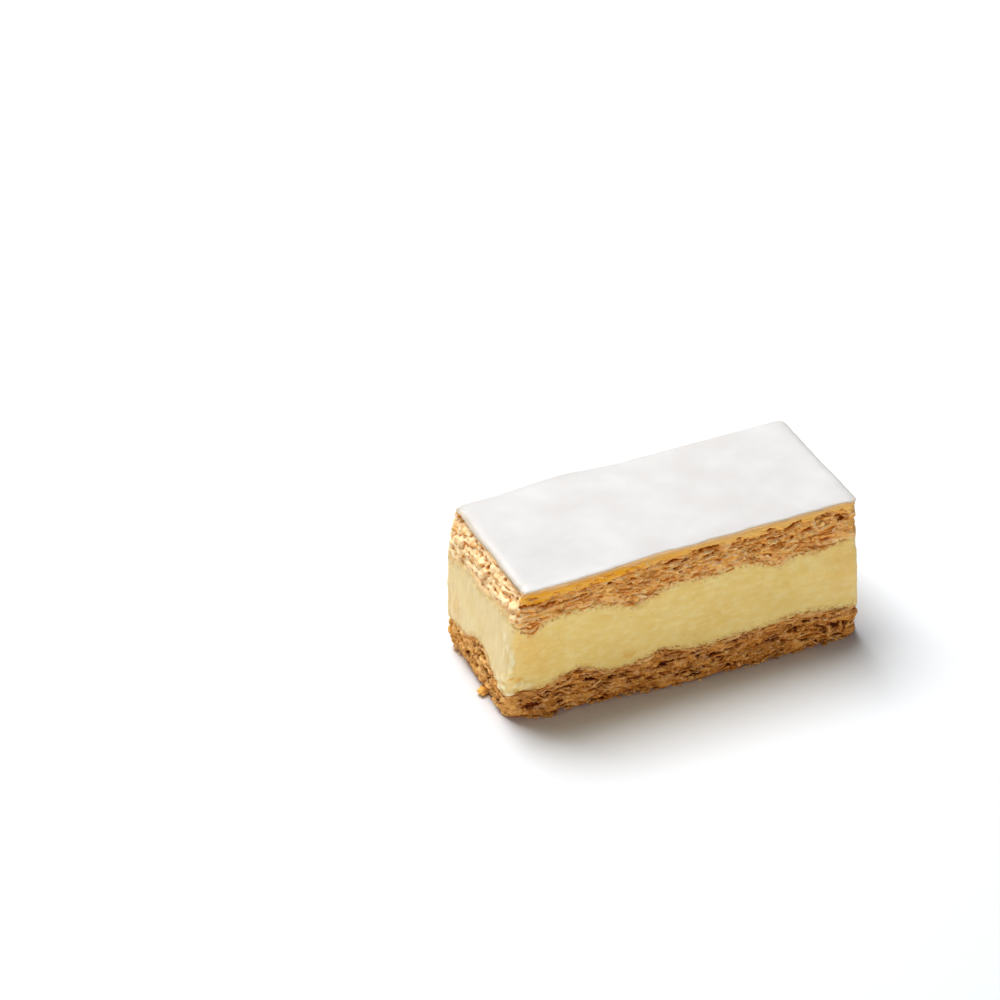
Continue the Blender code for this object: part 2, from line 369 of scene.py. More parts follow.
# How far the dough stands proud at its foot and leans in towards the icing: place along the outline, distance
FOOT_FLARE = (
    (0, -0.2), (4, 0.6), (8, 1.7), (12, 1.5), (16, 0.0), (34, 0.2), (44, 1.3), (58, 1.5), (68, 1.6), (78, 0.9),
    (90, 0.6), (96, 0.0), (245, 0.0), (252, -0.8), (258, -1.3), (280, -1.3), (288, -0.5),
)
TOP_LEAN = (
    (0, 2.0), (6, 1.3), (14, 0.6), (34, 0.6), (42, 1.1), (52, 0.7), (98, 0.5), (104, 0.0), (243, 0.0), (247, 1.4),
    (250, 2.8), (255, 1.6), (270, 1.6), (284, 2.0), (290, 2.1),
)


def around_outline(table, place, column):
    """Value from a table of stops round the outline."""
    stops = np.array(table, float)
    return np.interp(place, stops[:, 0], stops[:, column], period=2 * (LENGTH + WIDTH))


def lean(place, z):
    """How far the dough's cut side departs outward from the block at its foot and below the icing."""
    foot = around_outline(FOOT_FLARE, place, 1) * smooth_step(4.5, 0.5, z)
    return foot - around_outline(TOP_LEAN, place, 1) * smooth_step(36.0, HEIGHT, z)


def paleness(place):
    """1 at the left end and the front left corner, where the dough is pale, and falling to 0 along the front."""
    return np.exp(-((np.clip(np.abs(apart_on_outline(place, 268.0)) - 22.0, 0, None) / 5.0) ** 2))


def near_corner(x, y):
    """1 at the upright edges of the block, falling to 0 a few millimetres from them."""
    return np.exp(-(((LENGTH / 2 - np.abs(x)) + (WIDTH / 2 - np.abs(y))) / 3.0) ** 2)


def sheet_wander(x, y, i, seed):
    """How far the gap under sheet i rises and falls along the outline, as a share of a sheet's height."""
    return 0.42 * wave(x / 9, y / 9, 3.1 * i, seed + 2) + 0.12 * wave(x / 2.4, y / 2.4, 2.7 * i, seed + 12)


def patch_at(x, y, z, place, mark, seed):
    """1 in the middle of a listed mark, falling to 0 at its ragged edge."""
    centre, height, half_long, half_tall, rise = mark
    along = apart_on_outline(place, centre)
    frayed = 0.45 * wave(x / 1.1, y / 1.1, z / 0.8, seed + 10)
    apart = np.sqrt((along / half_long) ** 2 + ((z - height - rise * along) / half_tall) ** 2) + frayed
    return np.sqrt(np.clip(1 - apart**2, 0, 1))


def hollow_at(form, x, y, z, place):
    """Depth of the listed hollows."""
    deepest = np.zeros(np.broadcast_shapes(np.shape(x), np.shape(z)))
    for centre, height, half_long, half_tall, deep, rise in form["hollows"]:
        mark = (centre, height, half_long, half_tall, rise)
        deepest = np.maximum(deepest, deep * patch_at(x, y, z, place, mark, form["seed"]))
    return deepest


def flaky_field(outline, v, z, thick, form):
    """Relief of the crumb of a cut flaky side: how far out, how deep its gaps, tone and grain of each flake.

    v is the height above the layer's foot, z the height above the table and thick the layer's thickness. The
    long sides show sheets of dough end to end, and the two ends show rounder crumbs.
    """
    seed, sheets = form["seed"], form["sheets"]
    x, y = outline.x[None, :], outline.y[None, :]
    corner = 1 - 0.45 * near_corner(x, y)
    end = outline.nx[None, :] ** 2
    out = np.zeros(v.shape)
    slots = np.zeros(v.shape)
    warp = 0.30 * wave(x / 6, y / 6, z / 3.5, seed) + 0.14 * wave(x / 1.8, y / 1.8, z / 1.2, seed + 1)
    warp = warp + 0.5 * end * wave(x / 2.4, y / 2.4, z / 2.4, seed + 14)
    level = (v + warp) / thick * sheets
    for i in range(sheets + 1):
        foot = i + sheet_wander(x, y, i, seed)
        opening = wave(x / 5.5, y / 5.5, 5.7 * i, seed + 3) + 0.45 * wave(x / 1.8, y / 1.8, 4.3 * i, seed + 4)
        tall = np.clip(0.12 + 0.46 * opening, 0.05, 0.42)
        deep = np.clip(3.2 * (opening - form["shut"]), 0.0, 2.6) * corner
        shape = np.clip(1 - ((level - foot) / tall) ** 2, 0, 1)
        slots = np.maximum(slots, deep * np.sqrt(shape))
        stand = 0.26 * wave(x / 5, y / 5, 2.3 * i, seed + 5) + 0.18 * wave(x / 1.7, y / 1.7, 2.9 * i, seed + 6)
        out = np.where(level > foot, stand, out)
    recess = wave(x / 7, y / 7, z / 2.6, seed + 11) + 0.3 * wave(x / 2, y / 2, z, seed + 13)
    recess = smooth_step(-0.05, 0.30, recess)
    streak = fractal(x / 3.2 + 0.4 * warp, y / 3.2, (z + 1.2 * warp) / 0.75, seed + 18, 3)
    round_apart, round_number = cells(x / 2.5, y / 2.5, z / 1.9, seed + 15)
    small_apart, grain = cells(x / 0.75, y / 0.75, z / 0.5, seed + 8)
    crumb = 0.9 * (0.55 - round_apart) + 0.5 * (round_number - 0.5)
    lumps = lerp(form["relief"] * streak, form["end_relief"] * crumb, end)
    out = out * (1 - 0.5 * end) - 0.7 * recess * corner + lumps
    rough = 0.16 * (grain - 0.5) + 0.16 * (0.4 - small_apart) + 0.12 * fractal(x / 1.1, y / 1.1, z / 0.7, seed + 9)
    out = out + rough * (1 - 0.4 * end)
    pits = wave(x / 1.9, y / 1.9, z / 0.9, seed + 16) + 0.25 * wave(x / 0.7, y / 0.7, z / 0.5, seed + 17)
    pits = smooth_step(0.22, 0.65, pits) * lerp(0.3, form["end_relief"], end)
    slots = np.maximum(slots * (1 - form["end_shut"] * end), 1.3 * pits * corner)
    slots = np.maximum(slots, hollow_at(form, x, y, z, outline.place[None, :]))
    tone = lerp(0.5 + 0.55 * streak, form["end_tone"] + (1 - 1.4 * form["end_tone"]) * round_number, end)
    return out, slots, tone, grain


def make_pastry(name, form, material):
    outline = FINE
    seed = form["seed"]
    x, y = outline.x[None, :], outline.y[None, :]
    low, high = form["low"](outline), form["high"](outline)
    thick = (high - low)[None, :]
    count = int(round(float(thick.mean()) / UP))
    v = np.linspace(0, 1, count)[:, None] * thick
    z = low[None, :] + v
    out, slots, tone, grain = flaky_field(outline, v, z, thick, form)
    pale = np.broadcast_to(form["end_pale"] * paleness(outline.place)[None, :], v.shape)
    for place, height, half_long, half_tall, stand, light in form["lumps"]:
        mark = (place, height, half_long, half_tall, 0.0)
        shape = patch_at(x, y, z, outline.place[None, :], mark, seed + 60)
        out = lerp(out, np.maximum(out, 0.1 + 0.5 * stand * shape), shape)
        slots = slots * (1 - shape)
        pale = np.maximum(pale, light * shape)
    skin, film = np.zeros(v.shape), np.zeros(v.shape)
    if form["skin"]:
        from_top = thick - v
        edge = around_outline(SKIN, outline.place, 1)[None, :] * (1 + 0.25 * wave(x / 6, y / 6, 0.5, seed + 30))
        edge = edge + 0.30 * wave(x / 1.5, y / 1.5, 0.5, seed + 31)
        skin = 1 - smooth_step(edge - 0.2, edge + 0.4, from_top)
        lamina = 0.10 * wave(x / 9, y / 9, from_top / 0.28, seed + 34)
        lip = 0.34 + 0.18 * wave(x / 7, y / 7, 0.0, seed + 32)
        lip = lip + 0.16 * wave(x / 1.1, y / 1.1, from_top / 0.6, seed + 33)
        round_off = -0.30 * np.clip(1 - from_top / 0.9, 0, 1) ** 2
        film = smooth_step(0.8, 0.1, from_top + 0.3 * wave(x / 2.5, y / 2.5, 0.0, seed + 35))
        slots = slots * (1 - smooth_step(edge * 0.7, edge * 0.2, from_top))
        out = lerp(out - slots, lip + lamina + round_off, skin * np.clip(1 - slots / 0.9, 0, 1))
    else:
        out = out - slots
    if form["sole"]:
        ragged = 1 + 0.6 * wave(x / 2.2, y / 2.2, 0.0, seed + 40) + 0.4 * wave(x / 0.8, y / 0.8, 0.0, seed + 41)
        out = out - 0.55 * ragged * np.clip(1 - z / 1.2, 0, 1) ** 1.5
    to_custard = (v if form["skin"] else thick - v) + 0.7 * wave(x / 3.5, y / 3.5, z / 2.5, seed + 42)
    soft = smooth_step(3.2, 0.8, to_custard)
    out = lerp(out, blurred(out, 3, 5), 0.6 * soft)
    stuck = smooth_step(1.1, 0.1, to_custard)
    out = lerp(out, custard_bulge(x, y, z, 301) - 0.02 + 0.16 * (grain - 0.5), stuck)
    slots = slots * (1 - stuck)
    out = np.minimum(out, 0.75 - 0.3 * near_corner(x, y) - 0.5 * smooth_step(0.6, 0.95, outline.nx)[None, :])
    # Painted shade: the deeper a point lies below its neighbours or in a gap, the darker it is painted.
    cavity_shade = np.clip((blurred(out, 6, 6) - out) / 0.9 + slots / 2.0, 0, 1)
    # Painted shade at the foot: the dough is painted darker over its lowest 0.9 mm, towards the table.
    if form["sole"]:
        cavity_shade = np.maximum(cavity_shade, 0.6 * np.clip(1 - z / 0.9, 0, 1))
    # Painted light: where the dough steps back going up, its ledges face up and are painted lighter.
    painted_light_by_facing = np.clip(-np.gradient(blurred(out, 1, 1), axis=0) / (thick / count), -1, 1)
    tone = np.clip(tone + 0.35 * painted_light_by_facing, 0, 1)
    rings = [outline.inner(z[0] + (0 if form["sole"] else 0.4), inset) for inset in (3.5, 1.6)]
    out = out + lean(outline.place[None, :], z)
    rings += [outline.row(z[r], out[r]) for r in range(count)]
    rings += [outline.inner(z[-1] - (0 if form["skin"] else 0.3), inset) for inset in (1.6, 3.5)]
    fields = {
        "cavity_shade": cavity_shade,
        "flake": tone,
        "grain": grain,
        "skin": skin,
        "orange": np.broadcast_to(around_outline(SKIN, outline.place, 2)[None, :], v.shape),
        "film": film,
        "moist": soft,
        "pale": pale,
    }
    pad = np.zeros((2, outline.count))
    fields = {key: np.concatenate([pad, field, field[-1:], field[-1:]]) for key, field in fields.items()}
    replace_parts(closed_rings(name + "_crumb", rings, fields, material), name)


def closed_rings(name, rings, fields, material):
    """Body of closed rings from its foot to its top, each end closed by one face."""
    count = len(rings[0])
    points = np.concatenate(rings)
    caps = [list(range(count))[::-1], list(range(len(points) - count, len(points)))]
    flat = {key: f.ravel() for key, f in fields.items()}
    return piece(name, points, ring_faces(len(rings), count), caps, flat, [material])


# Cross section of a thin sheet of dough: how far in from its edge, and which share of its half thickness
SHEET_SECTION = ((-3.0, -1), (-0.9, -1), (-0.25, -0.9), (0, -0.3), (0, 0.3), (-0.25, 0.9), (-0.9, 1), (-3.0, 1))


def make_sheets(name, form, material):
    """The thin sheets of dough whose torn edges stand out of a pastry's crumb, each a closed strip round it."""
    outline = SHEETED
    seed, sheets = form["seed"], form["sheets"]
    x, y = outline.x, outline.y
    low, high = form["low"](outline), form["high"](outline) - form["skin"]
    around = len(SHEET_SECTION)
    station = np.arange(outline.count)
    after = (station + 1) % outline.count
    points, faces, cavity_shade, tone = [], [], [], []
    for i in range(sheets):
        for half in (0, 1) if i % 3 == 0 else (0,):
            gap_low, gap_high = (k + sheet_wander(x, y, k, seed) for k in (i, i + 1))
            level = low + (high - low) * lerp(gap_low, gap_high, 0.3 + 0.45 * half) / sheets
            key = 2.9 * (2 * i + half)
            level = level + 0.22 * wave(x / 3, y / 3, key, seed + 50) + 0.10 * wave(x / 0.9, y / 0.9, key, seed + 51)
            edge = 0.05 + 0.34 * wave(x / 5, y / 5, key, seed + 52) + 0.34 * wave(x / 1.6, y / 1.6, key, seed + 53)
            edge = edge + 0.22 * wave(x / 0.65, y / 0.65, key, seed + 54) - 0.5 * outline.nx**2
            torn_away = smooth_step(-0.10, 0.12, wave(x / 3.6, y / 3.6, key, seed + 55))
            edge = np.minimum(edge - 1.8 * torn_away, 0.7 - 0.4 * near_corner(x, y))
            edge = edge - 1.2 * hollow_at(form, x, y, level, outline.place)
            half_thick = 0.14 + 0.08 * wave(x / 2.5, y / 2.5, key, seed + 56)
            curl = 0.35 * wave(x / 2.8, y / 2.8, key, seed + 57)
            base = sum(len(ring) for ring in points)
            for inward, side in SHEET_SECTION:
                bend = curl * np.clip(1 + inward / 1.6, 0, 1) ** 2
                ripple = 0.08 * wave(x / 0.8, y / 0.8, key + inward, seed + 58)
                height = np.clip(level + bend + ripple + side * half_thick, 0.05, HEIGHT - ICING - 0.3)
                points.append(outline.row(height, edge + inward + lean(outline.place, height)))
                # Painted shade: each sheet is painted darker the further it lies in from its torn edge.
                cavity_shade.append(np.clip(-(edge + inward) / 1.4 - 0.1, 0, 1))
                tone.append(0.25 + 0.5 * ((0.37 * key) % 1.0) + 0.5 * wave(x / 2.2, y / 2.2, key, seed + 59))
            for r in range(around):
                here, there = base + r * outline.count, base + (r + 1) % around * outline.count
                faces.append(np.stack([here + station, here + after, there + after, there + station], 1))
    count = len(points) * outline.count
    fields = {
        "cavity_shade": np.concatenate(cavity_shade),
        "flake": np.concatenate(tone),
        "grain": np.full(count, 0.6),
        "pale": np.tile(form["end_pale"] * paleness(outline.place), len(points)),
    }
    thing = piece(name + "_sheets", np.concatenate(points), np.concatenate(faces), (), fields, [material])
    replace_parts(thing, name)


def scatter_chips(name, form, material, seed):
    """Small torn scales of dough that stick to a pastry's side, most of them lying along its sheets."""
    rng = np.random.default_rng(seed)
    outline = FINE
    count, corners = CHIPS["tried"], CHIPS["corners"]
    station = rng.integers(0, outline.count, count)
    low, high = form["low"](outline)[station], form["high"](outline)[station] - 0.5 * form["skin"]
    share = lerp(form["chips_from"], form["chips_to"], rng.random(count) ** form["chips_low"])
    height = lerp(low, high, share)
    x, y = outline.x[station], outline.y[station]
    clump = wave(x / 5, y / 5, height / 2.5, seed) + 0.5 * rng.random(count) - 0.8 * near_corner(x, y)
    clump = clump - form["end_bare"] * outline.nx[station] ** 2 - 0.9 * smooth_step(0.7, 1.0, outline.nx[station])
    keep = (clump > 0.12) & (hollow_at(form, x, y, height, outline.place[station]) < 0.2)
    station, height, share = station[keep], height[keep], share[keep]
    count = len(station)
    nx, ny = outline.nx[station], outline.ny[station]
    reach = rng.normal(0.04, 0.16, count) + form["foot_reach"] * smooth_step(2.0, 0.3, height)
    radius = lerp(CORNER_FOOT, CORNER_TOP, np.clip(height / LOWER_TOP, 0, 1))
    x = outline.ax[station] * (LENGTH / 2 - radius) + radius * nx
    y = outline.ay[station] * (WIDTH / 2 - radius) + radius * ny
    centre = put(x, y, height, np.minimum(reach, 0.4) + lean(outline.place[station], height), nx, ny)
    outward = np.stack([nx, ny, np.zeros(count)], 1)
    along = np.stack([-ny, nx, np.zeros(count)], 1)
    up = np.array([[0.0, 0.0, 1.0]])
    upright = rng.random(count)[:, None] < CHIPS["upright"]
    lift = rng.normal(0.0, 0.55, count)[:, None] + 1.25 * upright
    yaw = rng.normal(0.0, 0.32, count)[:, None]
    tilt = rng.normal(0.0, 0.35, count)[:, None]
    across = np.cos(lift) * outward + np.sin(lift) * up
    face = np.cos(lift) * up - np.sin(lift) * outward
    long_way = np.cos(yaw) * along + np.sin(yaw) * across
    wide_way = np.cos(yaw) * across - np.sin(yaw) * along
    long_way, face = long_way * np.cos(tilt) + face * np.sin(tilt), face * np.cos(tilt) - long_way * np.sin(tilt)
    on_custard = (share < 0) | (share > 1)
    length = CHIPS["size"] * np.exp(rng.normal(0.0, 0.45, count)) * np.where(on_custard, 0.45, 1 - 0.35 * nx**2)
    width = length * rng.uniform(0.25, 0.55, count)
    turn = np.arange(corners) * 2 * np.pi / corners
    wobble = rng.uniform(0.6, 1.15, (count, corners))
    u, w = np.cos(turn)[None, :] * wobble, np.sin(turn)[None, :] * wobble
    bend = rng.normal(0.0, 0.35, count)[:, None] * u**2 + rng.normal(0.0, 0.2, count)[:, None] * w
    half = rng.uniform(0.04, 0.08, count)[:, None]
    points = []
    for side, shrink in ((-1, 1.0), (1, 0.8)):
        shape = (u * shrink * length[:, None])[..., None] * long_way[:, None, :]
        shape = shape + (w * shrink * width[:, None])[..., None] * wide_way[:, None, :]
        shape = shape + (bend * length[:, None] + side * half)[..., None] * face[:, None, :]
        points.append(centre[:, None, :] + shape)
    points = np.concatenate(points, 1).reshape(-1, 3)
    points[:, 2] = np.clip(points[:, 2], 0.03, HEIGHT - 0.6)
    faces = []
    for base in range(0, count * 2 * corners, 2 * corners):
        faces.append([base + k for k in reversed(range(corners))])
        faces.append([base + corners + k for k in range(corners)])
        for k in range(corners):
            after = (k + 1) % corners
            faces.append([base + k, base + after, base + corners + after, base + corners + k])
    fields = {
        # Painted shade: scales lying close against the dough are painted darker.
        "cavity_shade": np.clip(0.15 - reach * 0.6, 0, 1),
        "flake": 0.35 + 0.65 * rng.random(count),
        "grain": rng.random(count),
        "pale": form["end_pale"] * paleness(outline.place[station]),
    }
    fields = {key: np.repeat(field, 2 * corners) for key, field in fields.items()}
    no_quads = np.zeros((0, 4), int)
    thing = piece(name + "_chips", points, no_quads, faces, fields, [material], smooth=False)
    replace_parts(thing, name)


# Crumbs that lie against the foot of the slice: x, y and size
FOOT_CRUMBS = ((-51.9, -4.3, 2.0), (-50.9, -1.9, 0.8), (-49.8, -13.5, 0.7))

def lump_shape(rng):
    """Points, faces and lightness of one closed irregular lump about 1 in radius."""
    bm = bmesh.new()
    bmesh.ops.create_icosphere(bm, subdivisions=3, radius=1.0)
    shape = np.array([vertex.co for vertex in bm.verts])
    faces = [[vertex.index for vertex in face.verts] for face in bm.faces]
    bm.free()
    seed = int(rng.integers(1000))
    swell = 1 + 0.4 * fractal(*(shape * 1.1).T, seed) + 0.15 * wave(*(shape * 4).T, seed + 5)
    light = 0.55 + 0.5 * wave(*(shape * 2).T, seed + 9)
    return shape * swell[:, None], faces, light


def make_foot_crumbs(material):
    rng = np.random.default_rng(81)
    points, faces, lightness = [], [], []
    for x, y, size in FOOT_CRUMBS:
        shape, sides, light = lump_shape(rng)
        shape = shape * (0.75 * size, 0.68 * size, 0.5 * size)
        shape[:, 2] -= shape[:, 2].min() - 0.02
        base = sum(len(part) for part in points)
        faces += [[base + corner for corner in side] for side in sides]
        points.append(shape + (x, y, 0.0))
        lightness.append(light)
    flake = np.concatenate(lightness)
    count = len(flake)
    fields = {"flake": flake, "skin": np.full(count, 0.7), "orange": np.full(count, 0.45)}
    no_quads = np.zeros((0, 4), int)
    thing = piece("foot_crumbs", np.concatenate(points), no_quads, faces, fields, [material])
    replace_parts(thing, "lower_pastry")


def spill(place):
    """How far the custard is smeared down over the dough at the front left corner."""
    return 1.1 * np.exp(-((apart_on_outline(place, 289.0) / 3.8) ** 2))


def torn(outline, seed):
    """Fine raggedness of the line where the dough ends."""
    x, y = outline.x, outline.y
    end = 1 + 0.6 * outline.nx**2
    return end * (0.55 * wave(x / 4, y / 4, 0.3, seed) + 0.45 * wave(x / 1.4, y / 1.4, 0.3, seed + 1))


# The torn scales of dough: how many places are tried, how large, with how many corners, how many stand upright
CHIPS = {"tried": 4600, "size": 0.50, "corners": 7, "upright": 0.5}

LOWER = {
    "low": lambda outline: np.zeros(outline.count),
    "high": lambda outline: custard_foot(outline.place) - spill(outline.place) + torn(outline, 90),
    "sheets": 8, "seed": 11, "hollows": LOWER_HOLLOWS, "lumps": LOWER_LUMPS, "skin": 0.0, "sole": True,
    "relief": 0.60, "end_relief": 1.5, "end_shut": 0.15, "end_tone": 0.0, "end_bare": 0.0, "end_pale": 0.6, "shut": -0.02,
    "chips_low": 1.25, "chips_from": 0.01, "chips_to": 1.04, "foot_reach": 0.5,
}
UPPER = {
    "low": lambda outline: custard_top(outline.place) + torn(outline, 95),
    "high": lambda outline: np.full(outline.count, HEIGHT - ICING_RIM),
    "sheets": 8, "seed": 211, "hollows": UPPER_HOLLOWS, "lumps": UPPER_LUMPS, "skin": 1.9, "sole": False,
    "relief": 0.45, "end_relief": 0.8, "end_shut": 0.8, "end_tone": 0.35, "end_bare": 0.75, "end_pale": 1.0, "shut": 0.08,
    "chips_low": 1.0, "chips_from": -0.04, "chips_to": 1.0, "foot_reach": 0.0,
}


# ---------------------------------------------------------------- custard

# Smears and ridges on the custard: place, height above the table, half length, half height, how far they
# stand out, and their tone from -1, amber, to 1, whitish
CUSTARD_RIDGES = (
    (287.6, 27.6, 0.9, 1.1, 0.35, 0.8),
    (289.4, 25.6, 0.8, 1.3, 0.45, 0.9),
    (0.6, 23.6, 0.7, 1.5, 0.45, 0.9),
    (1.4, 21.2, 0.7, 1.2, 0.40, 0.9),
    (0.6, 19.4, 1.0, 0.9, 0.45, 0.8),
    (288.0, 22.2, 0.6, 1.6, 0.30, 0.6),
    (287.0, 18.5, 0.7, 1.4, 0.20, 0.3),
    (0.8, 17.8, 0.9, 1.2, 0.35, 0.5),
    (0.4, 15.6, 1.5, 0.8, 0.45, 0.6),
    (289.2, 14.4, 1.2, 0.9, 0.50, 0.8),
    (286.4, 13.0, 1.4, 1.1, 0.55, 0.8),
    (289.8, 11.6, 1.3, 0.9, 0.60, 0.9),
    (287.2, 10.4, 1.1, 1.0, 0.55, 0.7),
    (3.0, 11.9, 1.6, 0.9, 0.55, 0.7),
    (6.2, 10.9, 1.8, 0.9, 0.50, 0.5),
    (0.6, 9.6, 1.2, 0.8, 0.60, 0.8),
    (1.2, 15.2, 0.7, 0.6, 0.25, -0.9),
    (3.6, 13.9, 0.9, 0.7, 0.25, -0.9),
    (289.6, 13.2, 0.5, 0.5, 0.20, -0.8),
    (5.0, 26.5, 3.6, 2.4, 0.05, -0.35),
    (6.5, 20.0, 5.0, 7.0, 0.0, -0.30),
    (255.3, 16.5, 2.6, 4.2, 0.25, -0.45),
    (285.0, 24.0, 2.2, 1.0, 0.20, 0.2),
    (98.0, 23.0, 5.0, 7.0, 0.05, -0.30),
    (34.5, 12.6, 1.8, 0.9, 0.10, -0.7),
    (43.0, 29.4, 1.6, 0.8, 0.05, -0.3),
)


def custard_bulge(x, y, z, seed):
    """How far the cut face of the custard swells out of the block's side."""
    wide = 0.35 * fractal(x / 14, y / 14, z / 9, seed, 2)
    knife = 0.05 * wave(x / 12, y / 12, z / 0.9, seed + 1)
    rough = near_corner(x, y) * (0.28 * wave(x / 2.0, y / 2.0, z / 2.4, seed + 6) + 0.14 * wave(x, y, z, seed + 7))
    return wide + 0.09 * fractal(x / 3.2, y / 3.2, z / 2.2, seed + 2, 3) + knife + rough - 0.1


def make_custard(material):
    outline = MEDIUM
    x, y = outline.x[None, :], outline.y[None, :]
    low, high = (custard_foot(outline.place) - spill(outline.place))[None, :], custard_top(outline.place)[None, :]
    rows = CUSTARD_ROWS
    share = np.linspace(0, 1, rows)[:, None]
    z = lerp(low - 1.6, high + 1.6, share)
    out = custard_bulge(x, y, z, 301)
    pale = np.zeros(z.shape)
    for place, height, half_long, half_tall, stand, light in CUSTARD_RIDGES:
        along = apart_on_outline(outline.place, place)[None, :]
        frayed = 0.6 * wave(x / 1.5, y / 1.5, z / 1.5, 310) + 0.4 * wave(x / 0.6, y / 0.6, z / 0.6, 311)
        shape = np.exp(-((np.hypot(along / half_long, (z - height) / half_tall) + frayed) ** 2))
        out = out + stand * shape
        pale = np.where(np.abs(light) * shape > np.abs(pale), light * shape, pale)
    rim = np.minimum(z - low, high - z)
    squeezed = 0.25 * wave(x / 2.2, y / 2.2, z / 1.5, 320) + 0.12 * wave(x / 0.9, y / 0.9, z / 0.9, 321)
    squeezed = squeezed * (1 + spill(outline.place)[None, :])
    out = out + squeezed * smooth_step(2.5, 0.3, np.abs(rim)) - 1.1 * smooth_step(-0.5, -1.5, rim)
    out = np.minimum(out, 0.8 - 0.7 * smooth_step(0.3, 0.9, outline.nx)[None, :])
    rings = [outline.inner(z[0], 2.5), *(outline.row(z[r], out[r]) for r in range(rows)), outline.inner(z[-1], 2.5)]
    pad = np.zeros((1, outline.count))
    # The left end's cut face gets its own tone: knife streaks, and a paler, duller colour that is painted sheen.
    left_end_streaks_and_sheen = np.broadcast_to(smooth_step(0.0, 1.0, -outline.nx)[None, :], z.shape)
    fields = {"rim": np.clip(1 - rim / 2.2, 0, 1), "pale": pale, "left_end_streaks_and_sheen": left_end_streaks_and_sheen}
    thing = closed_rings(
        "custard_slab", rings, {key: np.concatenate([pad, f, pad]) for key, f in fields.items()}, material
    )
    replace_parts(thing, "custard")


# ---------------------------------------------------------------- icing

# The icing's side from its top to its foot: share of the way down, and how far out from the rim
ICING_SIDE = ((0.12, 0.30), (0.3, 0.60), (0.6, 0.95), (1.0, 1.25))

# How far the icing's rim lies inside the block: place along the outline, inset
ICING_INSET = (
    (0, 2.9), (8, 2.5), (18, 1.8), (34, 1.9), (42, 2.5), (52, 2.0), (74, 1.9), (86, 1.7), (98, 1.6), (104, 0.8),
    (243, 0.8), (250, 2.3), (270, 2.5), (284, 2.9), (290, 3.1),
)


def make_icing(material):
    step = 0.5
    nx, ny = round(LENGTH / step), round(WIDTH / step)
    u, v = np.meshgrid(np.linspace(-1, 1, nx + 1), np.linspace(-1, 1, ny + 1))
    x, y = rounded_corners(u * LENGTH / 2, v * WIDTH / 2, CORNER_TOP)
    gap_x, gap_y = (1 - np.abs(u)) * LENGTH / 2, (1 - np.abs(v)) * WIDTH / 2
    fall = np.clip(1 - np.minimum(gap_x, gap_y) / 2.0, 0, 1)
    z = HEIGHT - 0.10 - 0.20 * fall**2 + 0.08 * fractal(x / 16, y / 16, 0, 401, 2)
    wobble = 0.30 * wave(x / 9, y / 9, 0.0, 402) + 0.14 * wave(x / 2.5, y / 2.5, 0.0, 403)
    shift = wobble - around_outline(ICING_INSET, along_outline(x.ravel(), y.ravel()), 1).reshape(x.shape)
    px = x + np.sign(x) * smooth_step(7.0, 0.0, gap_x) * shift
    py = y + np.sign(y) * smooth_step(7.0, 0.0, gap_y) * shift
    top = put(px, py, z).reshape(-1, 3)
    grid = np.arange((nx + 1) * (ny + 1)).reshape(ny + 1, nx + 1)
    faces = [np.stack([grid[:-1, :-1], grid[:-1, 1:], grid[1:, 1:], grid[1:, :-1]], -1).reshape(-1, 4)]
    border = icing_border(nx, ny)
    count = len(border)
    after = np.roll(np.arange(count), -1)
    rim_x, rim_y, rim_z = (field.ravel()[border] for field in (px, py, z))
    rings, foot_share = [top], [np.zeros(top.shape[0])]
    previous = border
    for k, (drop, outward) in enumerate(ICING_SIDE):
        level = lerp(rim_z, HEIGHT - ICING_RIM - 0.1, drop)
        rings.append(put(rim_x * (1 + 2 * outward / LENGTH), rim_y * (1 + 2 * outward / WIDTH), level))
        foot_share.append(np.full(count, drop))
        current = len(top) + k * count + np.arange(count)
        faces.append(np.stack([previous, current, current[after], previous[after]], 1))
        previous = current
    fields = {"foot": np.concatenate(foot_share)}
    underside = [previous.tolist()[::-1]]
    thing = piece("icing_sheet", np.concatenate(rings), np.concatenate(faces), underside, fields, [material])
    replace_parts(thing, "icing")


def icing_border(nx, ny):
    grid = np.arange((nx + 1) * (ny + 1)).reshape(ny + 1, nx + 1)
    return np.concatenate([grid[0, :-1], grid[:-1, -1], grid[-1, :0:-1], grid[:0:-1, 0]])


def rounded_corners(x, y, radius):
    """Moves the points of a rectangle's grid so that its corners are round."""
    px = np.abs(x) - (LENGTH / 2 - radius)
    py = np.abs(y) - (WIDTH / 2 - radius)
    inside = (px > 0) & (py > 0)
    shrink = np.where(inside, np.maximum(px, py) / np.maximum(np.hypot(px, py), 1e-9), 1)
    x = np.where(inside, np.sign(x) * (LENGTH / 2 - radius + px * shrink), x)
    y = np.where(inside, np.sign(y) * (WIDTH / 2 - radius + py * shrink), y)
    return x, y


# ---------------------------------------------------------------- materials

